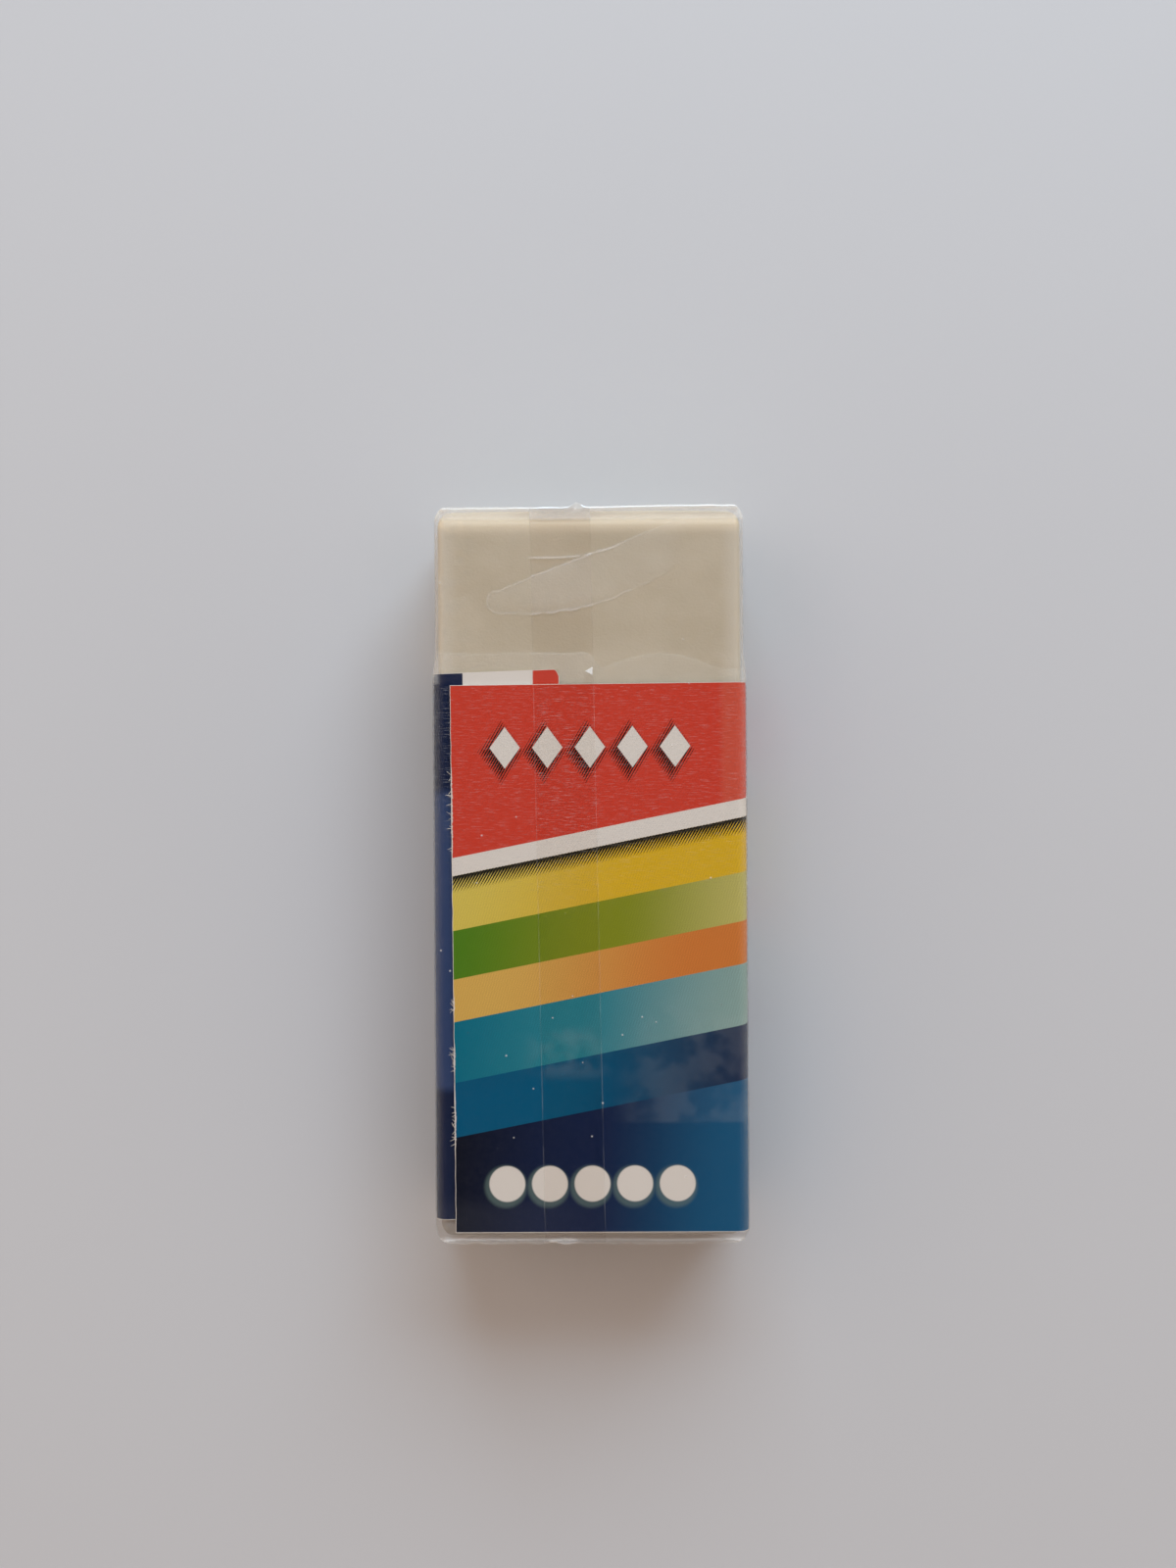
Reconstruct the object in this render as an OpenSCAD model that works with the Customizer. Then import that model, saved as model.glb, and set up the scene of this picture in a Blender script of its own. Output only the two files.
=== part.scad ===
// A new vinyl eraser in its printed card sleeve, sealed in clear film.
// It lies on its back. X is its width, Y its length with the bare end at +Y, and Z is up.
// The origin is under the middle of the whole, on the surface that it lies on. All sizes are in mm.

/* [Eraser block] */
// Length of the vinyl block
block_l = 60; // [50:0.5:70]
// Width of the vinyl block
block_w = 25; // [20:0.5:30]
// Thickness of the vinyl block
block_t = 12; // [9:0.5:15]
// Radius of the four corners, seen from above
corner_r = 1.6; // [1:0.1:2.5]
// Radius of the rounded edges
edge_r = 1.4; // [0.8:0.1:2]

/* [Card sleeve] */
// Thickness of the card
card_t = 0.3; // [0.2:0.05:0.5]
// Length of the sleeve along the block
sleeve_l = 45; // [35:0.5:48]
// Air between the card and each side of the block
card_clear = 0.1; // [0.05:0.05:0.3]
// Outer radius of the folds
fold_r = 1; // [0.6:0.1:1.5]
// Height of the front panel's free corner above the block's end
panel_base = 0.6; // [0.2:0.1:1.5]
// Distance from the left fold to the front panel's free edge, at its foot
free_edge_inset = 1.65; // [1.2:0.05:3]
// Tilt of the front panel's free edge, in degrees
free_edge_tilt = 0.3; // [0:0.05:0.6]
// How much the skewed strip climbs across the front panel
panel_climb = 0.15; // [0:0.05:0.5]
// How much it climbs round the sides and the back
round_climb = 0.85; // [0:0.05:1.5]
// How much it climbs along the glue flap
flap_climb = 0.3; // [0:0.05:0.6]
// Width of the glue flap, from the left fold to its end under the panel
flap_w = 10.4; // [6:0.1:14]
// Cut corner at the end of the glue flap
flap_nip = 0.4; // [0.1:0.1:1.5]

/* [Print] */
// Slant of the printed bands, in degrees
band_slant = 11; // [0:1:18]
// Depth of the red field, along the middle of the panel
red_d = 12; // [9:0.5:14]
// Width of the white band
white_d = 1.5; // [0.8:0.1:2.5]
// Width of the dark line under the white band
shade_d = 0.5; // [0.3:0.1:1]
// Width of the yellow band
yellow_d = 4; // [2:0.5:6]
// Width of the green band
green_d = 4; // [2:0.5:6]
// Width of the orange band
orange_d = 3.5; // [2:0.5:6]
// Width of the teal band
teal_d = 5; // [2:0.5:6]
// Width of the blue band
blue_d = 4.5; // [2:0.5:6]
// Number of white shapes in each printed row
row_count = 5; // [3:1:5]
// Distance between their middles
row_pitch = 3.5; // [3.4:0.1:4]
// Width of each lozenge in the upper row
lozenge_w = 2.5; // [1.5:0.1:3]
// Height of each lozenge in the upper row
lozenge_h = 3.4; // [2:0.1:4]
// Depth of the upper row's middle below the panel's top edge
lozenge_row_d = 5.2; // [4.5:0.1:6]
// Diameter of each dot in the lower row
dot_d = 2.9; // [1.5:0.1:3.2]
// Height of the lower row's middle above the panel's foot
dot_row_h = 4; // [3:0.1:5]

/* [Clear film] */
// Thickness of one layer of film
film_t = 0.04; // [0.03:0.01:0.08]
// Air between the film and each side of what it wraps
film_clear = 0.05; // [0.05:0.05:0.2]
// Air between the film and each end of the block
film_end_gap = 0.4; // [0.2:0.1:1]
// Inner radius of the film along its long edges
film_r = 0.8; // [0.4:0.1:1]
// Air over the block's face at the bare end
film_dip_gap = 0.2; // [0.1:0.05:0.4]
// Width of the lap seam along the front
seam_w = 5; // [3:0.5:8]
// Place of the seam's middle, from the middle of the front
seam_x = -1.9; // [-3:0.1:3]
// Tilt of the seam, in degrees
seam_tilt = 0.9; // [0:0.1:1.5]
// How far the lap seam runs down each end before the end flaps cover it
seam_hem = 3; // [1:0.5:4]
// Overlap of the two flaps folded over each end
end_lap = 3; // [1:0.5:5]

/* [Hidden] */
$fn = 96;

RED = "#b93729";
WHITE = "#dedbd6";
SHADE = "#3a3325";
YELLOW = "#d1ad3f";
GREEN = "#6c8a22";
ORANGE = "#cf8a44";
TEAL = "#197684";
BLUE = "#125677";
NAVY = "#1a2146";
SLATE = "#3a4a6e";
IVORY = "#d8ceb6";

// Heights of the layers, from the surface up
back_z = film_t;
block_z = back_z + card_t;
flap_z = block_z + block_t;
panel_z = flap_z + card_t;
film_top_z = panel_z + card_t;

// Half widths, from the middle out
inner_half = block_w / 2 + card_clear;
sleeve_half = inner_half + card_t;
film_half = sleeve_half + film_clear;
film_neck_half = block_w / 2 + film_clear;

// The flat stretches between the folds
flat_half = sleeve_half - fold_r;
fold_low_z = back_z + fold_r;
left_flat = panel_z - fold_r - fold_low_z;
right_flat = film_top_z - fold_r - fold_low_z;
back_flat = 2 * flat_half;

// Height of the strip's lower edge above the block's end, at each fold and free edge
climb_rate = round_climb / (left_flat + back_flat + right_flat);
h_free = panel_base;
h_right = h_free + panel_climb;
h_back_right = h_right + climb_rate * right_flat;
h_back_left = h_back_right + climb_rate * back_flat;
h_left = h_right + round_climb;
h_flap = h_left + flap_climb;

foot_y = -block_l / 2;
free_foot_x = -sleeve_half + free_edge_inset;
free_top_x = free_foot_x - sleeve_l * tan(free_edge_tilt);
flap_end_x = -sleeve_half + flap_w;
over = 1;

// Depths of the band edges below the panel's top, and their colours
band_colours = [RED, WHITE, SHADE, YELLOW, GREEN, ORANGE, TEAL, BLUE, NAVY];
band_widths = [red_d, white_d, shade_d, yellow_d, green_d, orange_d, teal_d, blue_d];
panel_top_h = h_free + sleeve_l;
deep = sleeve_l + 2 * block_w;

// Fields of the left side's print, from the block's end up
side_fields = [[0, 12, NAVY], [12, 36, SLATE], [36, deep, NAVY]];

// The film's inside
film_end_y = block_l / 2 + film_end_gap;
film_edge_y = foot_y + h_right + sleeve_l;
film_neck_y = foot_y + h_flap + sleeve_l;
film_dip_z = flap_z + film_dip_gap;

// Sum of the first n values of a list
function sum_to(list, n) = n <= 0 ? 0 : list[n - 1] + sum_to(list, n - 1);

// Depth of band edge i below the panel's top, where u is the distance along the strip from the middle
function band_edge(i, u) =
    (i == 0 ? -deep : i > len(band_widths) ? deep : sum_to(band_widths, i)) - u * tan(band_slant);

// Stands a flat drawing up along Y: its x stays x and its y becomes z
module along_y(length) {
    translate([0, length / 2, 0])
        rotate([90, 0, 0])
            linear_extrude(length)
                children();
}

// A rectangle with round corners, about its middle
module round_rect(w, h, r) {
    square([w - 2 * r, h], center = true);
    square([w, h - 2 * r], center = true);
    for (x = [-1, 1], y = [-1, 1])
        translate([x * (w / 2 - r), y * (h / 2 - r)])
            circle(r);
}

// The vinyl block: the common part of three round-cornered bars, one along each axis
module eraser_block() {
    color(IVORY)
        translate([0, 0, block_z + block_t / 2])
            intersection() {
                linear_extrude(block_t, center = true)
                    round_rect(block_w, block_l, corner_r);
                along_y(block_l)
                    round_rect(block_w, block_t, edge_r);
                rotate([0, 90, 0])
                    linear_extrude(block_w, center = true)
                        round_rect(block_t, block_l, edge_r);
            }
}

// Outline of one flat stretch of the strip, u along it and v up from the block's end
module strip_outline(u0, u1, h0, h1) {
    polygon([[u0, h0], [u1, h1], [u1, h1 + sleeve_l], [u0, h0 + sleeve_l]]);
}

// Printed bands over the outline given as a child; shift is the child's distance along the strip
module banded(shift, u0, u1) {
    for (i = [0 : len(band_widths)])
        color(band_colours[i])
            linear_extrude(card_t)
                intersection() {
                    children();
                    polygon([
                        [u0, panel_top_h - band_edge(i, u0 + shift)],
                        [u1, panel_top_h - band_edge(i, u1 + shift)],
                        [u1, panel_top_h - band_edge(i + 1, u1 + shift)],
                        [u0, panel_top_h - band_edge(i + 1, u0 + shift)]
                    ]);
                }
}

// The left side's print over the outline given as a child: slate blue between two navy fields
module side_print() {
    for (f = side_fields)
        color(f[2])
            linear_extrude(card_t)
                intersection() {
                    children();
                    translate([-deep, f[0]])
                        square([2 * deep, f[1] - f[0]]);
                }
}

// The two rows of white shapes on the front panel
module white_shapes() {
    for (i = [0 : row_count - 1]) {
        x = (i - (row_count - 1) / 2) * row_pitch;
        translate([x, panel_top_h - lozenge_row_d])
            polygon([[-lozenge_w / 2, 0], [0, -lozenge_h / 2], [lozenge_w / 2, 0], [0, lozenge_h / 2]]);
        translate([x, h_free + dot_row_h])
            circle(d = dot_d);
    }
}

// The front panel's outline: its left edge is the strip's free end
module panel_outline() {
    polygon([
        [free_foot_x, h_free],
        [flat_half, h_right],
        [flat_half, h_right + sleeve_l],
        [free_top_x, h_free + sleeve_l]
    ]);
}

module front_panel() {
    difference() {
        banded(0, -sleeve_half, flat_half)
            panel_outline();
        translate([0, 0, -over])
            linear_extrude(card_t + 2 * over)
                white_shapes();
    }
    color(WHITE)
        linear_extrude(card_t)
            white_shapes();
}

// The part of the glue flap between two places along X
module flap_outline(x0, x1) {
    intersection() {
        polygon([
            [-flat_half, h_left],
            [flap_end_x - flap_nip, h_flap],
            [flap_end_x, h_flap + flap_nip],
            [flap_end_x, h_flap + sleeve_l - flap_nip],
            [flap_end_x - flap_nip, h_flap + sleeve_l],
            [-flat_half, h_left + sleeve_l]
        ]);
        translate([x0, 0])
            square([x1 - x0, deep]);
    }
}

// The glue flap under the panel: the side's print beside the fold, then white, then red
module glue_flap() {
    stops = [-flat_half, -flat_half + 0.16 * flap_w, flap_end_x - 0.21 * flap_w, flap_end_x];
    side_print()
        flap_outline(stops[0], stops[1]);
    color(WHITE)
        linear_extrude(card_t)
            flap_outline(stops[1], stops[2]);
    color(RED)
        linear_extrude(card_t)
            flap_outline(stops[2], stops[3]);
}

module left_wall() {
    rotate([0, -90, 0])
        side_print()
            strip_outline(0, left_flat, h_back_left, h_left);
}

// The right side wall carries the panel's bands on round the fold
module right_wall() {
    fold_u = flat_half + PI * (fold_r - card_t / 2) / 2;
    mirror([1, 0, 0])
        rotate([0, -90, 0])
            translate([right_flat, 0])
                mirror([1, 0, 0])
                    banded(fold_u, 0, right_flat)
                        strip_outline(0, right_flat, h_right, h_back_right);
}

// A quarter bend of card between two heights: its outside points along the turn given in degrees
module bend(turn, low, high) {
    translate([0, (low + high) / 2, 0])
        along_y(high - low)
            rotate(turn)
                intersection() {
                    difference() {
                        circle(fold_r);
                        circle(fold_r - card_t);
                    }
                    square(fold_r);
                }
}

module card_sleeve() {
    translate([0, foot_y, 0]) {
        translate([0, 0, panel_z])
            front_panel();
        translate([0, 0, flap_z])
            glue_flap();
        translate([-inner_half, 0, fold_low_z])
            left_wall();
        translate([inner_half, 0, fold_low_z])
            right_wall();
        color(NAVY) {
            translate([0, 0, back_z])
                linear_extrude(card_t)
                    strip_outline(-flat_half, flat_half, h_back_left, h_back_right);
            translate([flat_half, 0, film_top_z - fold_r])
                bend(0, h_right, h_right + sleeve_l);
            translate([-flat_half, 0, fold_low_z])
                bend(180, h_back_left, h_back_left + sleeve_l);
            translate([flat_half, 0, fold_low_z])
                bend(270, h_back_right, h_back_right + sleeve_l);
        }
        translate([-flat_half, 0, panel_z - fold_r])
            for (f = side_fields)
                color(f[2])
                    bend(90, max(f[0], h_left), min(f[1], h_left + sleeve_l));
    }
}

// The film's form, grown outwards by g from its inside: wide over the sleeve,
// and drawn in and down past it towards the bare end
module film_form(g) {
    mid_z = (back_z + film_top_z) / 2;
    intersection() {
        translate([0, 0, mid_z])
            along_y(2 * (film_end_y + g))
                round_rect(2 * (film_half + g), film_top_z - back_z + 2 * g, film_r + g);
        rotate([90, 0, 90])
            linear_extrude(2 * (film_half + g), center = true)
                polygon([
                    [-film_end_y - g, back_z - g],
                    [film_end_y + g, back_z - g],
                    [film_end_y + g, film_dip_z + g],
                    [film_edge_y, film_top_z + g],
                    [-film_end_y - g, film_top_z + g]
                ]);
        linear_extrude(film_top_z + g)
            polygon([
                [-film_half - g, -film_end_y - g],
                [film_half + g, -film_end_y - g],
                [film_half + g, film_neck_y],
                [film_neck_half + g, film_end_y + g],
                [-film_neck_half - g, film_end_y + g],
                [-film_half - g, film_neck_y]
            ]);
    }
}

// The second layer along the front, and over both ends, where the film's edges are sealed
module lap_seam() {
    intersection() {
        difference() {
            film_form(2 * film_t);
            film_form(film_t);
        }
        translate([seam_x, 0, film_dip_z - seam_hem])
            rotate(seam_tilt)
                translate([-seam_w / 2, -block_l, 0])
                    cube([seam_w, 2 * block_l, seam_hem + block_t]);
    }
}

// The two flaps folded over one end, with 45-degree sides: the upper one lies on the lower
module end_flaps(half, top_z) {
    rise = (top_z + end_lap) / 2;
    along = [[film_t, 0, 1], [2 * film_t, top_z, -1]];
    for (a = along)
        translate([0, a[0] / 2, 0])
            along_y(a[0])
                polygon([
                    [-half, a[1]],
                    [half, a[1]],
                    [half - rise, a[1] + a[2] * rise],
                    [-half + rise, a[1] + a[2] * rise]
                ]);
}

module clear_film() {
    color("white", 0.25) {
        difference() {
            film_form(film_t);
            film_form(0);
        }
        lap_seam();
        translate([0, film_end_y + film_t, 0])
            end_flaps(film_neck_half - film_r, film_dip_z);
        translate([0, -film_end_y - film_t, 0])
            mirror([0, 1, 0])
                end_flaps(film_half - film_r, film_top_z);
    }
}

eraser_block();
card_sleeve();
clear_film();
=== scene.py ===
"""Looks of a new rubber eraser in its printed card sleeve, sealed in clear film."""
import math

import bpy
import numpy as np
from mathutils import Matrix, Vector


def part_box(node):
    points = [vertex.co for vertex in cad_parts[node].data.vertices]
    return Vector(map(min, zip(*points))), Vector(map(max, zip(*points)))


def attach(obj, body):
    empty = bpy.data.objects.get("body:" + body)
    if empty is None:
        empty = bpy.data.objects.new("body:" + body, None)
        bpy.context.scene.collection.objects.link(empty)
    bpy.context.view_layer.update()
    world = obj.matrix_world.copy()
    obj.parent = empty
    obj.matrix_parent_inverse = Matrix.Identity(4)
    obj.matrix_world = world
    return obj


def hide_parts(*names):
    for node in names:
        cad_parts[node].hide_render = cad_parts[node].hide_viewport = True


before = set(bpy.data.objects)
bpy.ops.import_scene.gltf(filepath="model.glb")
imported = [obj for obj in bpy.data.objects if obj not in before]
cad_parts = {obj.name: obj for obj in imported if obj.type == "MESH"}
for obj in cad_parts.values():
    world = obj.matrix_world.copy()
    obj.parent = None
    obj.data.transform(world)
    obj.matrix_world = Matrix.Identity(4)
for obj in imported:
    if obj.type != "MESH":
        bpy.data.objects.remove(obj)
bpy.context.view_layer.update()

bl_info = {
    "name": "Wrapped rubber eraser",
    "version": (1, 0, 0),
    "blender": (4, 5, 0),
    "location": "3D View > Sidebar > Eraser",
    "description": "Builds a vinyl eraser, its printed card sleeve and its clear film wrapping",
    "category": "Object",
}

MM = 0.001
BODY = "root"
BLOCK_LOW, BLOCK_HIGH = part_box("eraser_block")
SLEEVE_LOW, SLEEVE_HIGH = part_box("card_sleeve")
FILM_LOW, FILM_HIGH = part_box("clear_film")

# lengths in millimetres
SLEEVE_L = 45
BRIDGE = 2.7  # from the sleeve's edge to where the film lies on the vinyl
UV_UNIT = 100  # card that one unit of UV stands for
INK_PITCH = 0.20  # of the printed shading
FRAY_BASE = 0.04  # white that shows along every cut edge
FRAYED = ((6.9, 11.8), (13.2, 15.2), (18.1, 19.3), (31.2, 37.8))  # stretches up the free edge
EAR = (11.9, 30.25)  # corner of the film's end creases
LIP_REACH = (0.08, 0.34)  # how far the film's lip stands out at the bare end and at the foot

# lengths and places in metres
SLEEVE_FOOT = 0.6 * MM  # from the block's foot to the sleeve
SLEEVE_EDGE = BLOCK_LOW.y + SLEEVE_FOOT + (SLEEVE_L + 0.1) * MM  # its upper edge, at mid panel
FILM_END = FILM_HIGH.y - 0.10 * MM  # the film's end faces, inside its pinched lips
SEAM_GAP = 0.04 * MM  # between two layers of film

# wrinkles over the front: three places that each runs through, its height and width, all in mm
FRONT_CREASES = (
    ((-8.2, 23.15), (-0.4, 25.8), (6.5, 28.6), 0.05, 0.22),
    ((-5.1, 26.2), (-1.8, 26.05), (2.4, 27.1), 0.07, 0.20),
    ((-7.6, 21.5), (0.5, 22.1), (6.0, 24.6), 0.03, 0.22),
    ((1.0, 16.95), (6.3, 18.0), (10.4, 16.7), 0.02, 0.35),
    ((-11.3, 18.5), (-5.0, 18.1), (0.0, 17.9), 0.03, 0.30),
    ((0.2, 16.2), (0.35, 17.4), (0.5, 18.6), 0.05, 0.20),
)


def length(name, description, default_mm):
    """A property that holds a length, with its default given in millimetres."""
    return bpy.props.FloatProperty(
        name=name, description=description, default=default_mm * MM, unit="LENGTH", precision=5
    )


def angle(name, description, default_degrees):
    """A property that holds an angle, with its default given in degrees."""
    return bpy.props.FloatProperty(
        name=name, description=description, default=math.radians(default_degrees), subtype="ANGLE"
    )


def colour(name, description, default):
    """A property that holds a colour, as linear red, green and blue."""
    return bpy.props.FloatVectorProperty(
        name=name, description=description, default=default, subtype="COLOR", size=3, min=0, max=1
    )


class EraserSizes(bpy.types.PropertyGroup):
    """Sizes of the block and its card sleeve"""

    edge_r: length("Block edge radius", "Radius of the block's rounded edges", 0.6)
    corner_r: length("Block corner radius", "Radius of its corners, seen from above", 1.3)
    crown: length("Block crown", "How far the middle of the bare end swells", 0.12)
    card_t: length("Card thickness", "Thickness of the sleeve's card", 0.3)
    sleeve_l: length("Sleeve length", "Length of the sleeve along the block", SLEEVE_L)
    fold_r: length("Fold radius", "Outer radius of the sleeve's folds", 1.0)
    panel_climb: length("Panel climb", "How much the strip climbs across the front panel", 0.15)
    foot_drop: length("Foot drop", "How far the foot edge runs down to the right of the panel", 0.2)
    round_climb: length("Round climb", "How much it climbs round the sides and the back", 0.85)
    flap_climb: length("Flap climb", "How much it climbs along the glue flap", 0.3)
    free_edge_inset: length("Free edge inset", "From the left fold to the panel's free edge", 1.65)
    free_edge_tilt: angle("Free edge tilt", "Tilt of the panel's free edge", 0.3)
    flap_w: length("Flap width", "From the left fold to the end of the glue flap", 10.4)
    flap_nip: length("Flap nip", "Cut corner at the end of the glue flap", 0.4)


class FilmSizes(bpy.types.PropertyGroup):
    """Sizes of the film, its folds and its lap seam"""

    film_t: length("Film thickness", "Thickness of one layer of film", 0.03)
    film_r: length("Film edge radius", "Radius of the film along its long edges", 0.85)
    crease_r: length("Crease radius", "Radius of the film's folds at both ends", 0.22)
    dip: length("Dip", "How far the film comes down from the sleeve to the vinyl", 0.58)
    neck: length("Neck", "How far it draws in at each side there", 0.18)
    seam_w: length("Seam width", "Width of the lap seam along the front", 5.0)
    seam_x: length("Seam place", "Place of the seam's middle, from the front's middle", -1.9)
    seam_tilt: angle("Seam tilt", "Tilt of the lap seam", 0.9)
    seam_hem: length("Seam hem", "How far the seam runs down each end", 3.0)
    end_lap: length("End lap", "Overlap of the two flaps folded over each end", 3.0)


class PrintColours(bpy.types.PropertyGroup):
    """Colours printed on the sleeve"""

    red: colour("Red", "Upper field of the panel", (0.54, 0.046, 0.025))
    rose: colour("Rose", "Upper field beside the right fold", (0.545, 0.077, 0.044))
    white: colour("White", "White of the coated card", (0.65, 0.6, 0.535))
    lemon: colour("Lemon", "Yellow band, left", (0.62, 0.485, 0.088))
    yellow: colour("Yellow", "Yellow band, right", (0.63, 0.39, 0.017))
    green: colour("Green", "Green band, left", (0.07, 0.192, 0.01))
    leaf: colour("Leaf", "Green band, middle", (0.21, 0.24, 0.013))
    lime: colour("Lime", "Green band, right", (0.495, 0.437, 0.13))
    peach: colour("Peach", "Orange band, left", (0.62, 0.375, 0.085))
    orange: colour("Orange", "Orange band, right", (0.575, 0.18, 0.036))
    teal: colour("Teal", "Teal band, left", (0.0003, 0.136, 0.203))
    sky: colour("Sky", "Teal band, middle", (0.021, 0.196, 0.242))
    pale: colour("Pale teal", "Teal band, right", (0.24, 0.352, 0.314))
    blue: colour("Blue", "Blue band, left", (0.0005, 0.083, 0.167))
    deep_blue: colour("Deep blue", "Blue band, right", (0.005, 0.018, 0.055))
    navy: colour("Navy", "Lower field, left", (0.003, 0.004, 0.008))
    violet: colour("Violet", "Lower field, middle", (0.006, 0.014, 0.05))
    sea: colour("Sea blue", "Lower field, right", (0.009, 0.085, 0.178))
    side_navy: colour("Side navy", "Left wall and back", (0.007, 0.0135, 0.042))
    slate: colour("Slate", "Middle of the left wall", (0.028, 0.049, 0.12))
    ink: colour("Ink", "Dark of the printed shading", (0.010, 0.009, 0.007))


class PrintSizes(bpy.types.PropertyGroup):
    """Sizes of the printed bands and shapes"""

    slant: angle("Band slant", "Slant of the printed bands", 11)
    red_d: length("Red depth", "Depth of the red field, along the panel's middle", 12)
    white_d: length("White width", "Width of the white band", 1.5)
    yellow_d: length("Yellow width", "Width of the yellow band, with its shaded edge", 4.5)
    green_d: length("Green width", "Width of the green band", 4)
    orange_d: length("Orange width", "Width of the orange band", 3.5)
    teal_d: length("Teal width", "Width of the teal band", 5)
    blue_d: length("Blue width", "Width of the blue band", 4.5)
    row_pitch: length("Row pitch", "Distance between the white shapes of a row", 3.5)
    lozenge_w: length("Lozenge width", "Width of each lozenge", 2.5)
    lozenge_h: length("Lozenge height", "Height of each lozenge", 3.4)
    lozenge_row_d: length("Lozenge row depth", "Depth of the row below the panel's top", 5.2)
    dot_d: length("Dot diameter", "Diameter of each dot", 2.9)
    dot_row_h: length("Dot row height", "Height of the row above the panel's foot", 4)
    screen: length("Screen pitch", "Pitch of the print's line screen", 0.206)


class VinylColours(bpy.types.PropertyGroup):
    """Colours of the block's vinyl"""

    ivory: colour("Ivory", "Vinyl of the block", (0.5, 0.43, 0.315))
    shade: colour("Shade", "Darker cloudiness of the vinyl", (0.465, 0.395, 0.282))
    # foot is painted shade at the wrapped end
    foot: colour("Foot", "Greyer vinyl at the wrapped end", (0.31, 0.295, 0.275))
    # lit is painted light along the bare end
    lit: colour("Lit end", "Palest vinyl, along the bare end", (0.80, 0.68, 0.49))
    # rim is painted light: paler vinyl along the block's rounded edges
    rim: colour("Rim", "Paler vinyl along the block's edges", (0.53, 0.47, 0.365))
    speck: colour("Speck", "Dark specks in the vinyl", (0.26, 0.20, 0.13))


class StageLooks(bpy.types.PropertyGroup):
    """Colours of the floor and the lights"""

    floor: colour("Floor", "Pale floor", (0.54, 0.54, 0.54))
    room: colour("Room", "Soft light all round the room, low down", (1, 0.86, 0.72))
    between: colour("Between", "Weakest light, between room and ceiling", (0.25, 0.15, 0.06))
    ceiling: colour("Ceiling", "Weaker light from high up", (0.559, 0.446, 0.43))
    window: colour("Window", "Large soft light", (0.618, 0.817, 1))
    lamp: colour("Lamp", "Weak light from the left", (1, 0.905, 0.824))


def smooth(share):
    """Eases a share from 0 to 1: three of its squares less two of its cubes."""
    return share * share * (3 - 2 * share)


def bell(distance, width):
    """1 at no distance, falling as a normal curve to 1/e at the width."""
    return np.exp(-((distance / width) ** 2))


def ripple(t, seed):
    """A smooth uneven wave along t, within 1: the sum of six sines with seeded pitches and
    phases."""
    rng = np.random.default_rng(seed)
    total = np.zeros_like(t, float)
    for _ in range(6):
        total += np.sin(t * rng.uniform(0.4, 4.0) + rng.uniform(0, math.tau)) / 6
    return total


def tinted(colour, share):
    """A colour with its three numbers multiplied."""
    return tuple(share * c for c in colour)


def stretch_path(start, heading, stretches):
    """Carries a point along straight and round stretches in the X-Z plane.

    A straight stretch is (length, 0, count). A round one is (radius, turn, count), and turns left
    by that angle. Gives the distance, the place and the outward normal of each point: the heading
    turned a quarter to the right."""
    far, places = [np.zeros(1)], [np.array([start])]
    normals = [np.array([[math.sin(heading), -math.cos(heading)]])]
    for size, turn, count in stretches:
        step = np.linspace(0, 1, count + 1)[1:]
        here = places[-1][-1]
        if turn:
            angles = heading + turn * step
            centre = here + size * np.array([-math.sin(heading), math.cos(heading)])
            spot = centre + size * np.stack([np.sin(angles), -np.cos(angles)], 1)
            run = abs(size * turn) * step
            heading += turn
        else:
            angles = np.full(count, heading)
            spot = here + size * step[:, None] * np.array([math.cos(heading), math.sin(heading)])
            run = size * step
        far.append(far[-1][-1] + run)
        places.append(spot)
        normals.append(np.stack([np.sin(angles), -np.cos(angles)], 1))
    return np.concatenate(far), np.concatenate(places), np.concatenate(normals)


def grid_quads(rows, columns, closed=False):
    """Corner numbers of the quads of a grid of points, whose columns may close into rings."""
    r = np.arange(rows - 1)[:, None]
    c = np.arange(columns if closed else columns - 1)[None, :]
    right = (c + 1) % columns
    return np.stack(
        [r * columns + c, r * columns + right, (r + 1) * columns + right, (r + 1) * columns + c], -1
    ).reshape(-1, 4)


def closed_skin(rings, tips):
    """Rings of points as a closed skin: quads between them, and triangles from the first and the
    last ring to a tip each."""
    rows, cols = rings.shape[:2]
    first = np.arange(cols)
    last = first + (rows - 1) * cols
    tip = np.full(cols, rows * cols)
    ends = [
        np.stack([first, np.roll(first, -1), tip], 1),
        np.stack([tip + 1, np.roll(last, -1), last], 1),
    ]
    quads = grid_quads(rows, cols, closed=True)
    return np.concatenate([rings.reshape(-1, 3), tips]), [quads, *ends]


def stations(end, radius, bends, body):
    """Stations of rings carried along Y, in columns: their place, how far the ring has moved in and
    the share that is left of it. Both ends are alike: a quarter circle of that radius, then an end
    face of rings at one place that draw in to its middle."""
    turn = np.linspace(0, math.pi / 2, bends + 1)
    near = end - radius + radius * np.sin(turn)
    inset = radius - radius * np.cos(turn)
    shrink = np.linspace(1, 0, 9)[1:-1]
    flat = np.ones(len(shrink))
    bare = np.zeros(len(body))
    along = [-end * flat, -near[::-1], body, near, end * flat]
    inward = [radius * flat, inset[::-1], bare, inset, radius * flat]
    scale = [shrink[::-1], np.ones(2 * len(near) + len(body)), shrink]
    return [np.concatenate(parts)[:, None] for parts in (along, inward, scale)]


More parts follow.
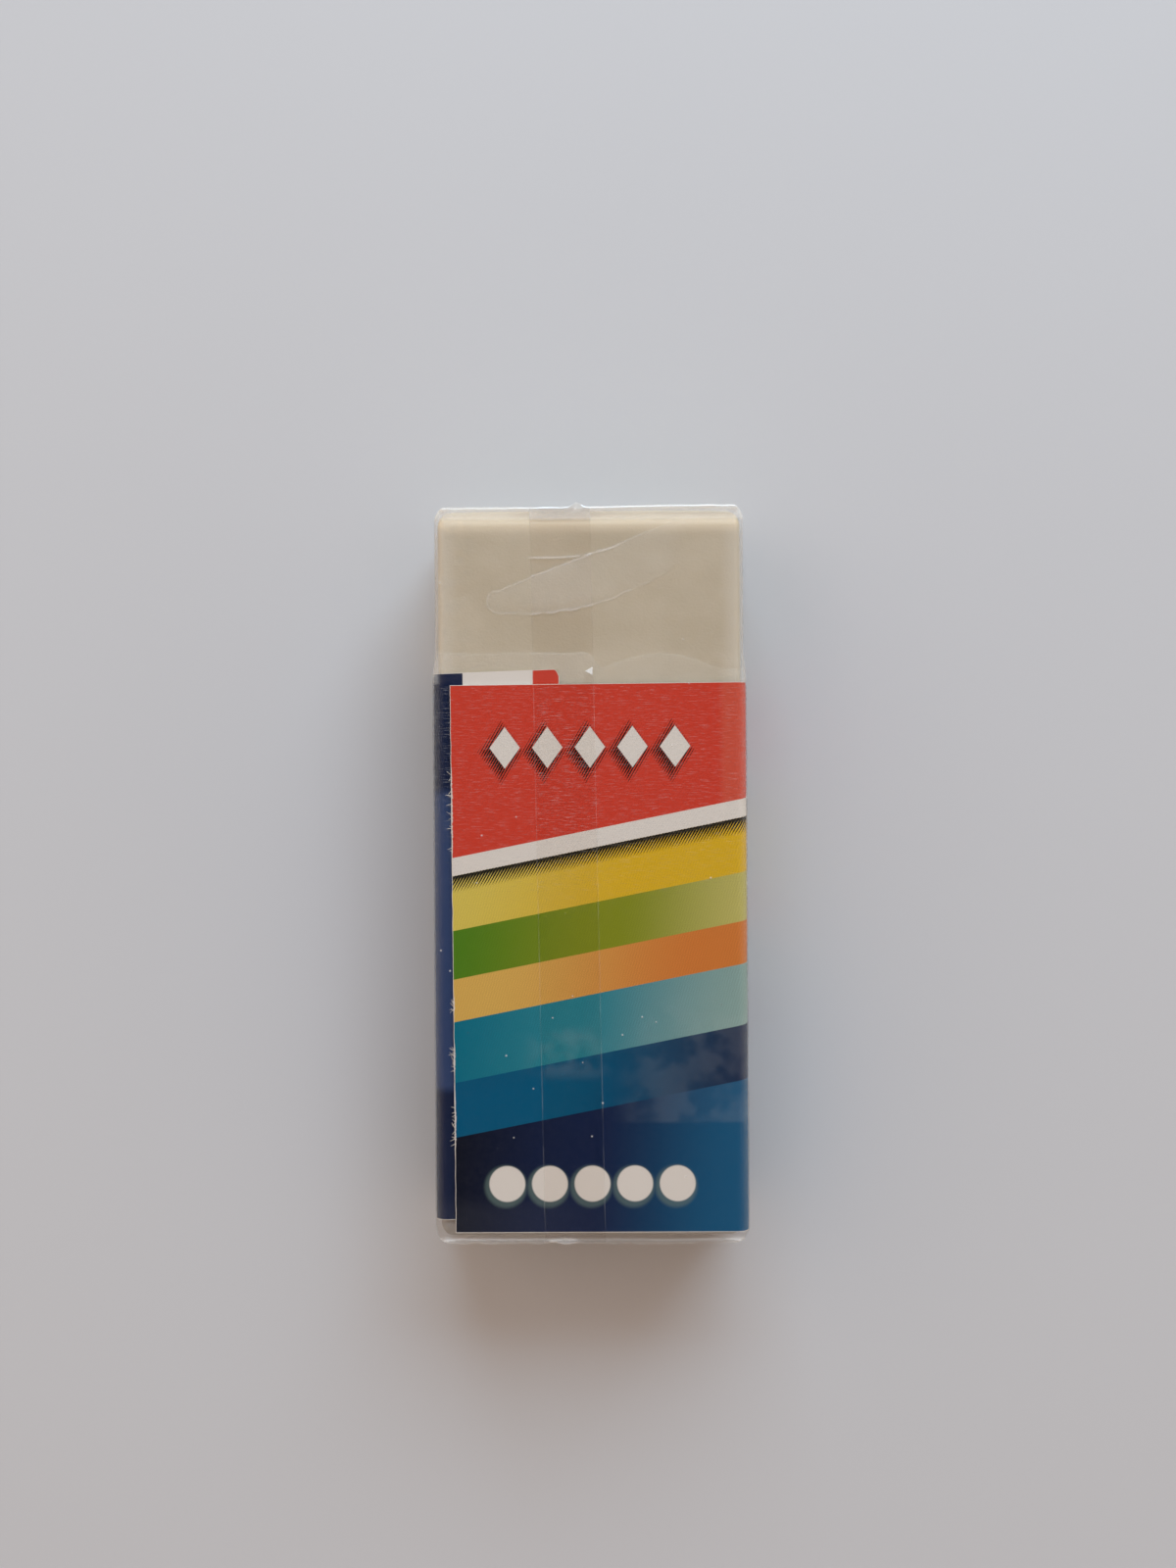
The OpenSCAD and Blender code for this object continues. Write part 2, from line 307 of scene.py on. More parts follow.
def make_piece(name, points, faces, uv=None, values=None, slots=None, sharp=35):
    """A mesh object in place, from points in metres and lists of faces. uv has a pair for each
    point, values holds named numbers for each point, and slots a material number for each face.
    Edges that turn by more than the sharp angle stay sharp."""
    mesh = bpy.data.meshes.new(name)
    lists = [f for part in faces for f in part.tolist()]
    mesh.from_pydata(points.tolist(), [], lists)
    if uv is not None:
        corner = np.empty(len(mesh.loops), np.int32)
        mesh.loops.foreach_get("vertex_index", corner)
        layer = mesh.uv_layers.new(name="strip")
        layer.data.foreach_set("uv", uv[corner].astype(np.float32).ravel())
    for key, numbers in (values or {}).items():
        attribute = mesh.attributes.new(key, "FLOAT", "POINT")
        attribute.data.foreach_set("value", numbers.astype(np.float32))
    if slots is not None:
        mesh.polygons.foreach_set("material_index", slots.astype(np.int32))
    mesh.polygons.foreach_set("use_smooth", np.ones(len(mesh.polygons), bool))
    mesh.set_sharp_from_angle(angle=math.radians(sharp))
    mesh.update()
    piece = bpy.data.objects.new(name, mesh)
    bpy.context.scene.collection.objects.link(piece)
    return piece


def seat(piece, slot, *nodes):
    """Puts a finished piece on the one body and hides the nodes that it stands for. The slot is not
    used.
    """
    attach(piece, BODY)
    if nodes:
        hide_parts(*nodes)


class Wire:
    """A node's output with arithmetic on it: every operator adds one Math node."""

    def __init__(self, paint, socket):
        self.paint = paint
        self.socket = socket

    def __add__(self, other):
        return self.paint.math("ADD", self, other)

    __radd__ = __add__

    def __sub__(self, other):
        return self.paint.math("SUBTRACT", self, other)

    def __rsub__(self, other):
        return self.paint.math("SUBTRACT", other, self)

    def __mul__(self, other):
        return self.paint.math("MULTIPLY", self, other)

    __rmul__ = __mul__

    def __truediv__(self, other):
        return self.paint.math("DIVIDE", self, other)

    def __pow__(self, other):
        return self.paint.math("POWER", self, other)

    def __abs__(self):
        return self.paint.math("ABSOLUTE", self)


class Paint:
    """One material, or the world, and the nodes that it is made of."""

    def __init__(self, name, library=bpy.data.materials):
        self.owner = library.new(name)
        self.owner.use_nodes = True
        self.tree = self.owner.node_tree
        self.tree.nodes.clear()

    def node(self, kind, settings=None, sockets=None):
        """A node of that kind, with its settings first, then the values or links of its sockets."""
        made = self.tree.nodes.new(kind)
        for key, value in (settings or {}).items():
            setattr(made, key, value)
        for key, value in (sockets or {}).items():
            socket = made.inputs[key] if isinstance(key, int) else next(
                s for s in made.inputs if key in (s.identifier, s.name)
            )
            if isinstance(value, Wire):
                self.tree.links.new(value.socket, socket)
            elif socket.type == "RGBA":
                socket.default_value = (*tuple(value)[:3], 1)
            else:
                socket.default_value = value
        return made

    def wire(self, made, output=0):
        """One output of a node, by number or name."""
        return Wire(self, made.outputs[output])

    def math(self, operation, *numbers):
        """A Math node on those numbers."""
        settings = {"operation": operation}
        return self.wire(self.node("ShaderNodeMath", settings, dict(enumerate(numbers))))

    def least(self, a, b):
        return self.math("MINIMUM", a, b)

    def most(self, a, b):
        return self.math("MAXIMUM", a, b)

    def fade(self, value, low, high):
        """0 at low and before it, 1 at high and past it, with a smooth change between. The two are
        plain numbers, in either order."""
        settings = {"interpolation_type": "SMOOTHSTEP"}
        sockets = {"Value": value, 1: low, 2: high}
        if low > high:
            sockets = {"Value": value, 1: high, 2: low, 3: 1.0, 4: 0.0}
        return self.wire(self.node("ShaderNodeMapRange", settings, sockets))

    def mix(self, factor, a, b):
        """Colour a where the factor is 0 and colour b where it is 1."""
        sockets = {"Factor_Float": factor, "A_Color": a, "B_Color": b}
        return self.wire(self.node("ShaderNodeMix", {"data_type": "RGBA"}, sockets), 2)

    def place(self):
        """The point in the shared frame, in millimetres, as a vector and its three numbers."""
        point = self.wire(self.node("ShaderNodeTexCoord"), "Object")
        scaled = self.wire(
            self.node("ShaderNodeVectorMath", {"operation": "SCALE"}, {0: point, "Scale": 1 / MM})
        )
        parts = self.node("ShaderNodeSeparateXYZ", None, {0: scaled})
        return scaled, [self.wire(parts, axis) for axis in "XYZ"]

    def noise(self, vector, scale, detail=2.0, roughness=0.5):
        """Soft noise about 0.5, with that many cycles in a millimetre."""
        sockets = {"Vector": vector, "Scale": scale, "Detail": detail, "Roughness": roughness}
        return self.wire(self.node("ShaderNodeTexNoise", None, sockets))

    def stretched(self, vector, scale):
        """The vector with each of its three numbers multiplied."""
        return self.wire(
            self.node("ShaderNodeVectorMath", {"operation": "MULTIPLY"}, {0: vector, 1: scale})
        )

    def value(self, name):
        """A number that the mesh holds for each point."""
        return self.wire(self.node("ShaderNodeAttribute", {"attribute_name": name}), "Fac")

    def bump(self, height, distance):
        """A normal tilted by that height, whose full range stands for the distance in metres."""
        sockets = {"Height": height, "Distance": distance}
        return self.wire(self.node("ShaderNodeBump", None, sockets))

    def specks(self, vector, scale, edge, core):
        """1 on small round specks, one in each cell of a scattered pattern."""
        cells = self.node("ShaderNodeTexVoronoi", None, {"Vector": vector, "Scale": scale})
        return self.fade(self.wire(cells, "Distance"), edge, core)

    def shader(self, kind, sockets):
        """A shader node's one output."""
        return self.wire(self.node("ShaderNode" + kind, None, sockets))

    def surface(self, **sockets):
        """A Principled surface as the material's result."""
        named = {key.replace("_", " "): value for key, value in sockets.items()}
        return self.result(self.shader("BsdfPrincipled", named))

    def result(self, shader):
        """Makes that shader the material's surface and gives the material."""
        self.node("ShaderNodeOutputMaterial", None, {"Surface": shader})
        return self.owner


def vinyl_material(looks):
    """Ivory vinyl: slightly cloudy, with a moulded skin and a few dark specks. It is painted paler
    along its edges and palest along the bare end, as painted light, and greyer at the wrapped end,
    as painted shade."""
    paint = Paint("ivory_vinyl")
    point, (x, y, z) = paint.place()
    cloud = paint.fade(paint.noise(point, 0.16, 3.0, 0.6), 0.35, 0.65)
    base = paint.mix(cloud, looks.ivory, looks.shade)
    middle = (BLOCK_LOW.z + BLOCK_HIGH.z) / 2 / MM
    wide, far, top = BLOCK_HIGH.x / MM, BLOCK_HIGH.y / MM, BLOCK_HIGH.z / MM
    outline = paint.least(wide - abs(x), far - abs(y))
    level = top - middle - abs(z - middle)
    # painted light: paler vinyl along the block's rounded edges, as if lit through them
    base = paint.mix(paint.fade(outline + level, 1.9, 0.4), base, looks.rim)
    # painted light: the palest vinyl along the bare end
    base = paint.mix(paint.fade(far - y + level, 2.3, 0.3), base, looks.lit)
    # painted shade: greyer vinyl at the wrapped end
    base = paint.mix(paint.fade(y, -27.8, -28.6), base, looks.foot)
    base = paint.mix(paint.specks(point, 0.28, 0.045, 0.015) * 0.8, base, looks.speck)
    skin = paint.noise(point, 5.0, 3.0, 0.6) + paint.noise(point, 0.7, 2.0) * 1.5
    return paint.surface(
        Base_Color=base,
        Roughness=0.42 + 0.12 * paint.noise(point, 1.2),
        Normal=paint.bump(skin, 0.02 * MM),
        Subsurface_Weight=0.2,
        Subsurface_Radius=(1.0, 0.85, 0.65),
        Subsurface_Scale=0.8 * MM,
    )


def raw_card_material(colours):
    """Uncoated white card: its cut edges and its inside, with short fibres."""
    paint = Paint("raw_card")
    point, _ = paint.place()
    fibre = paint.noise(paint.stretched(point, (9.0, 3.0, 9.0)), 1.0, 4.0, 0.7)
    return paint.surface(
        Base_Color=paint.mix(fibre, tinted(colours.white, 0.82), colours.white),
        Roughness=0.85,
        Normal=paint.bump(fibre, 0.03 * MM),
    )


def print_material(colours, sizes, strip):
    """The sleeve's printed face. u runs along the strip and v up from its lower edge; across and
    depth are the same two, counted from the panel's middle and down from its top. All of them and
    the strip's places are in millimetres."""
    paint = Paint("printed_card")
    strip_uv = paint.wire(paint.node("ShaderNodeUVMap"))
    parts = paint.node("ShaderNodeSeparateXYZ", None, {0: strip_uv})
    u, v = [paint.wire(parts, axis) * UV_UNIT for axis in "XY"]
    across = strip["middle_u"] - u
    depth = strip["sleeve_l"] - v
    band = depth + across * math.tan(sizes.slant)
    lean = across / (2 * strip["half"]) + 0.5 + (depth - 25.0) * 0.004
    soft = 0.03

    def past(value, edge):
        """0 before a printed edge and 1 past it."""
        return paint.fade(value, edge - soft, edge + soft)

    def ramp(left, right, low, high):
        """Runs from the left colour to the right one between two places across the panel."""
        return paint.mix(paint.fade(lean, low, high), left, right)

    def blend(left, middle, right, place):
        """Runs from the left colour over a middle one, reached at that place, to the right one."""
        return paint.mix(paint.fade(lean, place, 1.05), ramp(left, middle, 0.0, place), right)

    # the red field, and below it each band from the edge where the one above it ends
    widths = (sizes.red_d, sizes.white_d, sizes.yellow_d, sizes.green_d, sizes.orange_d,
              sizes.teal_d, sizes.blue_d)
    edges = np.cumsum([width / MM for width in widths])
    fields = [
        colours.white,
        ramp(colours.lemon, colours.yellow, 0.0, 0.62),
        blend(colours.green, colours.leaf, colours.lime, 0.55),
        ramp(colours.peach, colours.orange, 0.15, 0.85),
        blend(colours.teal, colours.sky, colours.pale, 0.45),
        blend(colours.blue, colours.blue, colours.deep_blue, 0.35),
        blend(colours.navy, colours.violet, colours.sea, 0.55),
    ]
    face = paint.mix(paint.fade(across, 10.4, 11.2), colours.red, colours.rose)
    for edge, field in zip(edges, fields):
        face = paint.mix(past(band, edge), face, field)

    # a fine line screen tints the pale bands
    turn = math.radians(15)
    lines = across * math.cos(turn) + depth * math.sin(turn)
    lines = paint.math("SINE", lines * (math.tau / (sizes.screen / MM)))
    pale = paint.fade(band, edges[1], edges[1] + 0.5) * paint.fade(band, edges[5] + 2, edges[5])
    face = paint.mix(pale * (0.05 + 0.05 * lines), face, colours.ink)

    # ink lines that thin out away from the white band and from the lozenges
    comb = paint.math("SINE", (across * 0.87 + depth * 0.5) * (math.tau / INK_PITCH)) * 0.5 + 0.5

    def shaded(face, amount):
        """Prints ink lines whose width follows the amount, from none at 0 to solid at 1."""
        return paint.mix(paint.fade(comb - amount, 0.06, -0.06), face, colours.ink)

    below = band - edges[1]
    face = shaded(face, paint.fade(below, 1.5, 0.1) * paint.fade(below, -0.02, 0.02) * 1.06 - 0.03)

    def nearest(across):
        """Distance across from the middle of the nearest of the five shapes of a row."""
        pitch = sizes.row_pitch / MM
        place = paint.least(paint.most(across * (1 / pitch), -2.0), 2.0)
        return across - pitch * paint.math("ROUND", place)

    def lozenge(across, depth):
        """Distance past the outline of the nearest lozenge."""
        half_w, half_h = sizes.lozenge_w / MM / 2, sizes.lozenge_h / MM / 2
        up = abs(depth - sizes.lozenge_row_d / MM)
        flat = abs(nearest(across)) * (1 / half_w) + up * (1 / half_h) - 1.0
        return flat * (half_w * half_h / math.hypot(half_w, half_h))

    def dot(across, depth):
        """Distance past the outline of the nearest dot."""
        near = nearest(across)
        up = depth - (strip["sleeve_l"] - sizes.dot_row_h / MM)
        return paint.math("SQRT", near * near + up * up) - sizes.dot_d / MM / 2

    shadow = lozenge(across + 0.3, depth - 0.35)
    face = shaded(face, paint.fade(shadow, 0.75, -0.3) * 0.96 - 0.04)
    face = paint.mix(paint.fade(lozenge(across, depth), soft, -soft), face, colours.white)
    glow = paint.fade(dot(across + 0.12, depth - 0.22), 0.5, 0.05)
    face = paint.mix(glow * 0.55, face, tinted(colours.pale, 0.5))
    face = paint.mix(paint.fade(dot(across, depth), 0.10, -0.06), face, colours.white)

    # the right wall keeps the bands, the back and left wall are plain, the flap has three fields
    slate = paint.fade(depth, 9.2, 10.4) * paint.fade(depth, 34.8, 33.8)
    plain = paint.mix(slate, colours.side_navy, colours.slate)
    face = paint.mix(past(u, strip["right_u"]), plain, face)
    flap = paint.mix(past(u, 2.18), colours.red, colours.white)
    flap = paint.mix(past(u, 7.95), flap, plain)
    face = paint.mix(paint.fade(u, strip["fold_u"], strip["fold_u"] + 0.2), flap, face)

    # white fibres show along the cut edges, widest where the free edge is frayed
    point, _ = paint.place()
    fray = paint.noise(paint.stretched(point, (4.0, 6.0, 4.0)), 1.0, 5.0, 0.8)
    worn = paint.value("rim") - paint.value("fray") * (fray - 0.35)
    worn = paint.fade(worn, 0.055, 0.02)
    face = paint.mix(worn, face, colours.white)

    mottle = paint.noise(point, 2.2, 3.0, 0.6)
    face = paint.mix(0.02 * mottle, face, tinted(colours.white, 0.6))
    grain = paint.noise(point, 1.6, 3.0, 0.65) + paint.noise(point, 0.25, 2.0) * 3.0
    return paint.surface(
        Base_Color=face,
        Roughness=0.20 + 0.10 * mottle + 0.5 * worn,
        Normal=paint.bump(grain, 0.004 * MM),
        Specular_IOR_Level=0.12,
    )


def film_haze(paint, point, place, past, lap, painted_fill):
    """How much light the film scatters, from 0 to 1, in and along its folds, edges and scratches,
    together with painted highlights, a painted halo and painted reflections. past is 1 past the
    sleeve's edge, lap on the lap seam, and the third share is 1 high up in the bare end's crease,
    where the haze is painted light. Places are in millimetres."""
    x, y, z = place
    sway = paint.noise(point, 0.9, 2.0) - 0.5
    uneven = paint.noise(point, 0.65, 2.0)
    broken = paint.fade(uneven, 0.32, 0.52)

    # the lifted fold over the bare vinyl, and its bright broken outline
    veil = paint.value("veil") + sway * 0.25
    veil_in = paint.fade(veil, -0.12, 0.15) * paint.fade(x, 9.2, 5.5)
    outline = paint.fade(abs(veil), 0.15, 0.0) * broken * paint.fade(x, 8.0, 4.0)

    # the bridge from the sleeve's edge to the vinyl, clear of the flap, and its shore
    bridge = paint.value("bridge") + sway * 0.2
    clear_of_flap = paint.most(paint.fade(y, 16.8, 17.0), paint.fade(x, -2.6, -2.4))
    bridge_in = paint.fade(bridge, -0.10, 0.12) * past * clear_of_flap
    shore = paint.fade(abs(bridge), 0.12, 0.02) * past
    folds = 0.052 * veil_in + 0.035 * bridge_in * (1 - veil_in)
    haze = paint.most(paint.value("haze"), folds) + outline * 0.10 + shore * 0.03

    # a crease that curves up across the bare vinyl
    bend = paint.most(x + 3.0, 0.0)
    arc = paint.fade(abs(y - 26.1 - 0.033 * bend * bend + sway * 0.12), 0.14, 0.0)
    haze = haze + arc * paint.fade(x, -5.6, -4.2) * paint.fade(x, 3.4, 1.4) * broken * 0.14

    # fine streaks across the print, and a painted highlight where the seam meets the sleeve's edge
    streaks = paint.noise(paint.stretched(point, (0.9, 13.0, 1.0)), 1.0, 3.0, 0.75)
    streaks = paint.fade(streaks, 0.53, 0.66) * paint.fade(y, -6.0, 6.0) * paint.fade(y, 15.6, 15.4)
    painted_flash = paint.fade(abs(y - 16.72) - 0.55 * (x + 0.35), 0.03, -0.03) * paint.fade(x, 0.28, 0.22)
    haze = haze + streaks * (1 - 0.4 * lap) * 0.09 + painted_flash * 0.42

    # a painted halo of haze along both long edges, a dull stretch at the left, painted light in the
    # bare end's crease, and dust
    painted_halo = paint.fade(z, 10.6, 11.8) * (1 - past) * 0.035 + paint.fade(z, 8.5, 11.0) * past * 0.18
    left = paint.fade(x, -8.0, -11.5) * past * paint.fade(uneven, 0.48, 0.6)
    haze = haze + painted_halo * paint.fade(abs(x), 12.2, 12.7) + left * 0.03 + painted_fill * 0.24
    haze = haze + paint.specks(point, 0.42, 0.05, 0.02) * 0.35

    # painted reflection: soft haze over the lower fields, in a patch beside the seam and at the
    # foot
    cloud = paint.fade(paint.noise(point, 0.38, 2.0, 0.5), 0.40, 0.60)
    painted_sheen = paint.fade(y, -20.6, -20.2) * paint.fade(y, -7.5, -13.5) * paint.fade(x, 1.0, 6.0)
    patch = paint.fade(abs(x + 2.0), 4.2, 1.6) * paint.fade(abs(y + 14.6), 2.6, 1.2)
    painted_sheen = painted_sheen * (0.25 + 0.75 * cloud) + (1 - 0.6 * lap) * patch * cloud * 0.8
    foot = (1 - lap) * paint.fade(y, -26.0, -28.0) * paint.fade(x, 6.0, -6.0)
    return paint.least(haze + (painted_sheen + foot * 0.3) * 0.03, 0.9)


def film_material():
    """Clear film. Light goes straight through, apart from the haze, which scatters it, and a share
    that the film mirrors. That share grows towards grazing angles as (1 - cosine) to the fifth,
    and is least on the lap seam, which lies tight on the layer below."""
    paint = Paint("clear_film")
    point, place = paint.place()
    _, y, z = place
    edge = SLEEVE_EDGE / MM
    past = paint.fade(y, edge - 0.1, edge + 0.1)
    lap = paint.value("lapped")
    # painted light: haze high up in the bare end's crease lightens the vinyl's edge below it, and
    # the film mirrors less there
    painted_fill = paint.fade(y, 29.10, 29.45) * paint.fade(z, 9.5, 11.5)
    haze = film_haze(paint, point, place, past, lap, painted_fill)
    height = paint.noise(paint.stretched(point, (0.6, 0.35, 0.5)), 1.0, 2.0, 0.55)
    normal = paint.bump(height, 0.10 * MM)
    weight = paint.node("ShaderNodeLayerWeight", None, {"Blend": 0.5, "Normal": normal})
    grazing = paint.wire(weight, "Facing")
    close = (1 - lap * (0.95 - 0.25 * past)) * (1 - 0.8 * painted_fill)
    share = paint.most(0.002 + close * (0.004 + 0.5 * grazing ** 5), paint.value("glint"))
    clear = paint.shader("BsdfTransparent", {"Color": (0.99, 0.985, 0.98)})
    near = paint.shader("BsdfDiffuse", {"Color": (0.92, 0.92, 0.90)})
    far = paint.shader("BsdfTranslucent", {"Color": (0.92, 0.92, 0.90)})
    gloss = {"Color": (0.93, 0.96, 1), "Roughness": 0.09, "Normal": normal}
    mirror = paint.shader("BsdfAnisotropic", gloss)
    dull = paint.shader("MixShader", {0: 0.45, 1: near, 2: far})
    through = paint.shader("MixShader", {0: haze, 1: clear, 2: dull})
    return paint.result(paint.shader("MixShader", {0: share, 1: through, 2: mirror}))


def fibre_material(colours):
    """The card's loose fibres: white, with a slight change from one to the next."""
    paint = Paint("card_fibre")
    point, _ = paint.place()
    tone = paint.noise(point, 3.0)
    return paint.surface(
        Base_Color=paint.mix(tone, colours.white, tinted(colours.white, 1.12)),
        Roughness=0.8,
    )


def floor_material(looks):
    """A dull pale floor with a faint broad and fine mottle."""
    paint = Paint("pale_floor")
    point, _ = paint.place()
    broad = paint.noise(point, 0.012, 2.0)
    fine = paint.noise(point, 2.5, 3.0, 0.6)
    return paint.surface(
        Base_Color=paint.mix(broad * 0.6 + fine * 0.3, looks.floor, tinted(looks.floor, 0.96)),
        Roughness=0.55,
    )


def strip_facts(sizes):
    """Lengths and places along the strip of card, in metres, from its folded path round the
    block. Names that end in _u are places counted from the flap's end."""
    half = SLEEVE_HIGH.x
    top = SLEEVE_HIGH.z
    flat_half = half - sizes.fold_r
    bend = math.pi / 2 * (sizes.fold_r - sizes.card_t / 2)
    right = top - SLEEVE_LOW.z - 2 * sizes.fold_r
    left = right - sizes.card_t
    fold_u = sizes.flap_w - sizes.fold_r
    right_u = fold_u + bend + left + bend + 2 * flat_half + bend
    panel_u = right_u + right + bend
    panel = flat_half + half - sizes.free_edge_inset
    return {
        "half": half, "top": top, "flat_half": flat_half, "left": left, "right": right,
        "panel": panel, "sleeve_l": sizes.sleeve_l, "fold_u": fold_u, "right_u": right_u,
        "panel_u": panel_u, "middle_u": panel_u + flat_half, "end_u": panel_u + panel,
    }


def sleeve_surface(sizes):
    """The folded strip as a closed shell. Its path round the block is five straight stretches
    joined by quarter turns, and its section is the card's thickness by the sleeve's length. The
    section climbs along Y as the strip goes round, and its foot edge drops towards the right
    fold."""
    facts = strip_facts(sizes)
    t, sleeve_l = sizes.card_t, sizes.sleeve_l
    fold = sizes.fold_r - t / 2
    quarter = math.pi / 2
    start = (-facts["half"] + sizes.flap_w, facts["top"] - 1.5 * t)
    u, place, normal = stretch_path(start, math.pi, [
        (0.1 * MM, 0, 2), (facts["fold_u"] - 0.1 * MM, 0, 20), (fold, quarter, 10),
        (facts["left"], 0, 8), (fold, quarter, 8), (2 * facts["flat_half"], 0, 16),
        (fold, quarter, 8), (facts["right"], 0, 10), (fold, quarter, 12),
        (facts["panel"] - 0.2 * MM, 0, 60), (0.2 * MM, 0, 4),
    ])
    climb_u = [0, facts["fold_u"], facts["panel_u"], facts["end_u"]]
    round_top = sizes.panel_climb + sizes.round_climb
    climb = np.interp(u, climb_u, [round_top + sizes.flap_climb, round_top, sizes.panel_climb, 0])
    drop = np.interp(u, climb_u, [0, 0, sizes.foot_drop, 0])
    close = np.array([0, 0.05, 0.1, 0.25, 0.6]) * MM
    body = np.linspace(1.2 * MM, sleeve_l - 1.2 * MM, 110)
    v = np.concatenate([close, body, sleeve_l - close[::-1]])
    uu, vv = np.meshgrid(u, v, indexing="ij")
    yy = BLOCK_LOW.y + SLEEVE_FOOT + climb[:, None] + vv - drop[:, None] * (1 - vv / sleeve_l)

    # the free edge leans, and is a little ragged; the flap's two corners are cut
    lean = v * math.tan(sizes.free_edge_tilt) + 0.035 * MM * ripple(v / MM, 5)
    on_panel = np.clip((uu - facts["panel_u"]) / facts["panel"], 0, 1)
    nip = np.clip(sizes.flap_nip - np.minimum(v, sleeve_l - v), 0, None)
    on_flap = np.clip(1 - uu / facts["fold_u"], 0, 1)
    shift = on_panel * lean[None, :] + on_flap ** 8 * nip[None, :]
    slide = np.stack([-normal[:, 1], normal[:, 0]], 1)
    mid = place[:, None, :] + slide[:, None, :] * shift[:, :, None]

    def both(outside, inside):
        """The two faces as one ring of columns: up the outside and down the inside."""
        return np.concatenate([outside, inside[:, ::-1]], 1)

    outer = mid + normal[:, None, :] * (t / 2)
    inner = mid - normal[:, None, :] * (t / 2)
    points = both(*(np.stack([face[..., 0], yy, face[..., 1]], -1) for face in (outer, inner)))
    rows, cols = uu.shape
    quads = grid_quads(rows, 2 * cols, closed=True)
    k = np.arange(cols - 1)
    cap = np.stack([k, k + 1, 2 * cols - 2 - k, 2 * cols - 1 - k], 1)
    faces = [quads, cap[:, ::-1], cap + (rows - 1) * 2 * cols]
    printed = np.tile(np.arange(2 * cols) < cols - 1, rows - 1)
    slots = np.concatenate([np.where(printed, 0, 1), np.ones(2 * (cols - 1), int)])

    flat = np.stack([uu + shift, vv], -1)
    to_end = facts["end_u"] - uu
    rim = np.minimum(np.minimum(uu, to_end), np.minimum(vv, sleeve_l - vv)) / MM
    worn = FRAY_BASE + fray_places(vv / MM) * np.clip(1 - to_end / (1.5 * MM), 0, 1)
    uv = both(flat, flat).reshape(-1, 2) / (UV_UNIT * MM)
    values = {"rim": both(rim, rim).ravel(), "fray": both(worn, worn).ravel()}
    return points.reshape(-1, 3), faces, uv, values, slots


def fray_places(v):
    """How much the panel's free edge is frayed at height v, in millimetres."""
    return sum(0.45 * np.exp(-(((v - (a + b) / 2) / ((b - a) / 2)) ** 4)) for a, b in FRAYED)


def fibre_tufts(sizes):
    """The longer fibres along the frayed stretches, as thin tapering tubes. A fibre's middle line
    is its root plus s times its length along a seeded direction plus s squared times a seeded bend,
    and its ring is a circle of six points across it."""
    rng = np.random.default_rng(8)
    count, steps, sides = 64, 7, 6
    stretch = np.array(FRAYED)[rng.choice(len(FRAYED), count, p=[0.26, 0.16, 0.10, 0.48])]
    v = stretch[:, 0] + (stretch[:, 1] - stretch[:, 0]) * rng.uniform(0, 1, count)
    x = -SLEEVE_HIGH.x + sizes.free_edge_inset - v * MM * math.tan(sizes.free_edge_tilt)
    root = np.stack([x + 0.05 * MM, BLOCK_LOW.y + SLEEVE_FOOT + v * MM,
                     SLEEVE_HIGH.z - rng.uniform(0.06, 0.22, count) * MM], 1)
    turn = rng.uniform(math.radians(115), math.radians(245), count)
    way = np.stack([np.cos(turn), np.sin(turn), rng.uniform(-0.15, 0.1, count)], 1)
    bow = np.stack([-np.sin(turn), np.cos(turn), 0 * turn], 1) * rng.uniform(-0.5, 0.5, (count, 1))
    reach = rng.uniform(0.12, 0.55, (count, 1, 1)) * MM
    s = np.linspace(0, 1, steps)[None, :, None]
    line = root[:, None, :] + reach * (s * way[:, None, :] + s * s * bow[:, None, :])
    along = way[:, None, :] + 2 * s * bow[:, None, :]
    side = np.cross(along, [0, 0, 1.0])
    side /= np.linalg.norm(side, axis=2, keepdims=True)
    lift = np.cross(side, along)
    lift /= np.linalg.norm(lift, axis=2, keepdims=True)
    turn = (math.tau * np.arange(sides) / sides)[:, None]
    thick = rng.uniform(0.018, 0.034, (count, 1, 1)) * MM * (1.1 - 0.8 * s)
    circle = np.cos(turn) * side[:, :, None, :] + np.sin(turn) * lift[:, :, None, :]
    tubes = line[:, :, None, :] + thick[..., None] * circle
    first = (np.arange(count) * steps * sides)[:, None]
    quads = grid_quads(steps, sides, closed=True) + first[..., None]
    roots = first + np.arange(sides)[::-1]
    tips = first + (steps - 1) * sides + np.arange(sides)
    return tubes.reshape(-1, 3), [quads.reshape(-1, 4), roots, tips]


def block_surface(sizes):
    """The block as rings of a rounded section carried along Y. Near each end the ring moves inwards
    as a quarter circle, and the end face is the last ring drawn in to its middle. The bare end
    swells by the crown, less towards its sides."""
    half = (BLOCK_HIGH - BLOCK_LOW) / 2
    mid_z = (BLOCK_HIGH.z + BLOCK_LOW.z) / 2
    across, up, cos, sin = ring_numbers((40, 40), 10, 16)
    start = half.y - sizes.corner_r
    body = np.linspace(-start, start, 90)[1:-1]
    along, inward, scale = stations(half.y, sizes.corner_r, 12, body)
    radius = np.maximum(sizes.edge_r - inward, 0.12 * MM)
    x = (across * (half.x - inward - radius) + radius * cos) * scale
    z = (up * (half.z - inward - radius) + radius * sin) * scale
    y = along + 0 * x
    swell = sizes.crown * (1 - (x / half.x) ** 4)
    uneven = 0.015 * MM * ripple(y / MM * 0.5, 3) * (z > 0)
    y = y + swell * np.clip((y - start) / sizes.corner_r, 0, 1) ** 2
    tips = [[0, -half.y, mid_z], [0, half.y + sizes.crown, mid_z]]
    return closed_skin(np.stack([x, y, z + mid_z + uneven], -1), tips)


